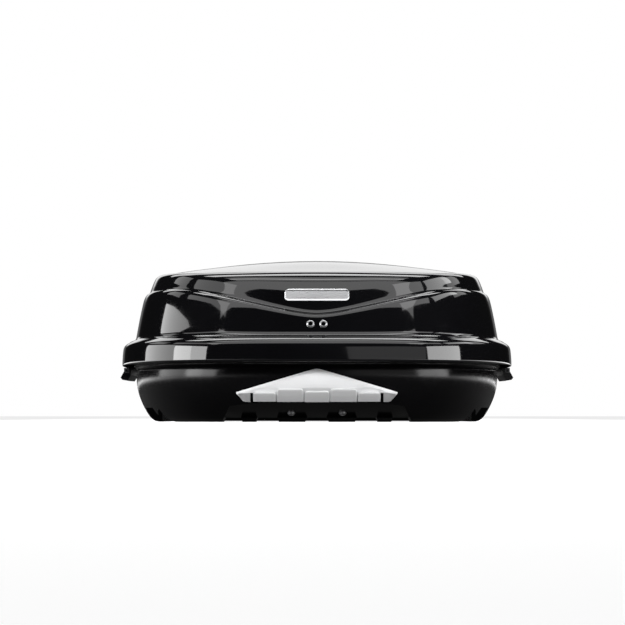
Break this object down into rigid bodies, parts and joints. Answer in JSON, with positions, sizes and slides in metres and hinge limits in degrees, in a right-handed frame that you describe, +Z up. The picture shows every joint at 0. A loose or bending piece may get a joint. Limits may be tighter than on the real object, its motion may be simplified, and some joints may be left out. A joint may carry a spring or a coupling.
{
  "type": "roof cargo box",
  "caption": "Long hard-shell roof box with an overhanging glossy lid that opens from either side, a silver tail insert, pull handles and claw clamps for load bars.",
  "frame": {"origin": "under the middle of the box, on the surface that it stands on", "axes": "+Z up, +Y along the box towards its nose, +X to the right seen from behind"},
  "size_m": [0.916, 1.9196, 0.3834],
  "materials": {
    "gloss_black": "high-gloss black thermoformed plastic",
    "satin_black": "satin black plastic",
    "matte_black": "fine-grained moulded plastic",
    "silver_paint": "silver-painted plastic, satin",
    "rubber_black": "soft black rubber",
    "zinc_steel": "zinc-plated steel",
    "bright_chrome": "bright plated metal"
  },
  "bodies": {
    "base": {"base_shell": "satin_black", "edge_seal": "rubber_black", "diffuser_insert": "silver_paint", "diffuser_screw_left": "bright_chrome", "floor_rail_left": "zinc_steel", "clamp_housing_left_rear": "matte_black", "fixed_claw_left_rear": "zinc_steel", "clamp_housing_left_front": "matte_black", "fixed_claw_left_front": "zinc_steel", "latch_post_rear_left": "zinc_steel", "latch_post_middle_left": "zinc_steel", "latch_post_front_left": "zinc_steel", "diffuser_screw_right": "bright_chrome", "floor_rail_right": "zinc_steel", "clamp_housing_right_rear": "matte_black", "fixed_claw_right_rear": "zinc_steel", "clamp_housing_right_front": "matte_black", "fixed_claw_right_front": "zinc_steel", "latch_post_rear_right": "zinc_steel", "latch_post_middle_right": "zinc_steel", "latch_post_front_right": "zinc_steel", "lifter_base_bracket_rear": "zinc_steel", "lifter_base_bracket_front": "zinc_steel"},
    "lifter": {"lifter_arm_rear": "zinc_steel", "lifter_arm_front": "zinc_steel"},
    "lid": {"lid_shell": "gloss_black", "badge_plate": "bright_chrome", "lid_screw_left": "bright_chrome", "rod_guide_rear_left": "matte_black", "rod_guide_front_left": "matte_black", "handle_bracket_left": "matte_black", "lid_screw_right": "bright_chrome", "rod_guide_rear_right": "matte_black", "rod_guide_front_right": "matte_black", "handle_bracket_right": "matte_black", "lifter_lid_bracket_rear": "zinc_steel", "lifter_lid_bracket_front": "zinc_steel"},
    "knob_left_rear": {"clamp_knob_left_rear": "satin_black", "clamp_spindle_left_rear": "zinc_steel"},
    "claw_left_rear": {"moving_claw_left_rear": "zinc_steel"},
    "knob_left_front": {"clamp_knob_left_front": "satin_black", "clamp_spindle_left_front": "zinc_steel"},
    "claw_left_front": {"moving_claw_left_front": "zinc_steel"},
    "rod_left": {"latch_rod_left": "zinc_steel"},
    "handle_left": {"pull_handle_left": "satin_black"},
    "lock_left": {"lock_barrel_left": "bright_chrome"},
    "knob_right_rear": {"clamp_knob_right_rear": "satin_black", "clamp_spindle_right_rear": "zinc_steel"},
    "claw_right_rear": {"moving_claw_right_rear": "zinc_steel"},
    "knob_right_front": {"clamp_knob_right_front": "satin_black", "clamp_spindle_right_front": "zinc_steel"},
    "claw_right_front": {"moving_claw_right_front": "zinc_steel"},
    "rod_right": {"latch_rod_right": "zinc_steel"},
    "handle_right": {"pull_handle_right": "satin_black"},
    "lock_right": {"lock_barrel_right": "bright_chrome"}
  },
  "joints": [
    {"name": "lifter_hinge", "type": "hinge", "parent": "base", "child": "lifter", "pos_m": [-0.4, 0, 0.152], "axis": [0, -1, 0], "range_deg": [0, 38]},
    {"name": "lid_hinge", "type": "hinge", "parent": "lifter", "child": "lid", "pos_m": [0.4, 0, 0.152], "axis": [0, 1, 0], "range_deg": [0, 38]},
    {"name": "handle_left_pull", "type": "hinge", "parent": "lid", "child": "handle_left", "pos_m": [-0.444, -0.06, 0.118], "axis": [0, 1, 0], "range_deg": [0, 20]},
    {"name": "latch_rod_left_slide", "type": "slide", "parent": "lid", "child": "rod_left", "axis": [0, 1, 0], "range_m": [0, 0.022], "stiffness_N_per_m": 300, "springref_m": -0.01},
    {"name": "lock_left_turn", "type": "hinge", "parent": "lid", "child": "lock_left", "pos_m": [-0.444, -0.06, 0.138], "axis": [-1, 0, 0], "range_deg": [0, 90]},
    {"name": "knob_left_rear_turn", "type": "hinge", "parent": "base", "child": "knob_left_rear", "pos_m": [-0.3, -0.56, 0.07], "axis": [0, 0, 1], "range_deg": [0, 360]},
    {"name": "claw_left_rear_slide", "type": "slide", "parent": "base", "child": "claw_left_rear", "axis": [0, 1, 0], "range_m": [0, 0.012]},
    {"name": "knob_left_front_turn", "type": "hinge", "parent": "base", "child": "knob_left_front", "pos_m": [-0.3, 0.24, 0.07], "axis": [0, 0, 1], "range_deg": [0, 360]},
    {"name": "claw_left_front_slide", "type": "slide", "parent": "base", "child": "claw_left_front", "axis": [0, 1, 0], "range_m": [0, 0.012]},
    {"name": "handle_right_pull", "type": "hinge", "parent": "lid", "child": "handle_right", "pos_m": [0.444, -0.06, 0.118], "axis": [0, -1, 0], "range_deg": [0, 20]},
    {"name": "latch_rod_right_slide", "type": "slide", "parent": "lid", "child": "rod_right", "axis": [0, 1, 0], "range_m": [0, 0.022], "stiffness_N_per_m": 300, "springref_m": -0.01},
    {"name": "lock_right_turn", "type": "hinge", "parent": "lid", "child": "lock_right", "pos_m": [0.444, -0.06, 0.138], "axis": [1, 0, 0], "range_deg": [0, 90]},
    {"name": "knob_right_rear_turn", "type": "hinge", "parent": "base", "child": "knob_right_rear", "pos_m": [0.3, -0.56, 0.07], "axis": [0, 0, 1], "range_deg": [0, 360]},
    {"name": "claw_right_rear_slide", "type": "slide", "parent": "base", "child": "claw_right_rear", "axis": [0, 1, 0], "range_m": [0, 0.012]},
    {"name": "knob_right_front_turn", "type": "hinge", "parent": "base", "child": "knob_right_front", "pos_m": [0.3, 0.24, 0.07], "axis": [0, 0, 1], "range_deg": [0, 360]},
    {"name": "claw_right_front_slide", "type": "slide", "parent": "base", "child": "claw_right_front", "axis": [0, 1, 0], "range_m": [0, 0.012]}
  ],
  "couplings": [
    {"joint": "handle_left_pull", "follows": "latch_rod_left_slide", "rad_per_m": 15.8},
    {"joint": "knob_left_rear_turn", "follows": "claw_left_rear_slide", "rad_per_m": 523},
    {"joint": "knob_left_front_turn", "follows": "claw_left_front_slide", "rad_per_m": 523},
    {"joint": "handle_right_pull", "follows": "latch_rod_right_slide", "rad_per_m": 15.8},
    {"joint": "knob_right_rear_turn", "follows": "claw_right_rear_slide", "rad_per_m": 523},
    {"joint": "knob_right_front_turn", "follows": "claw_right_front_slide", "rad_per_m": 523}
  ]
}
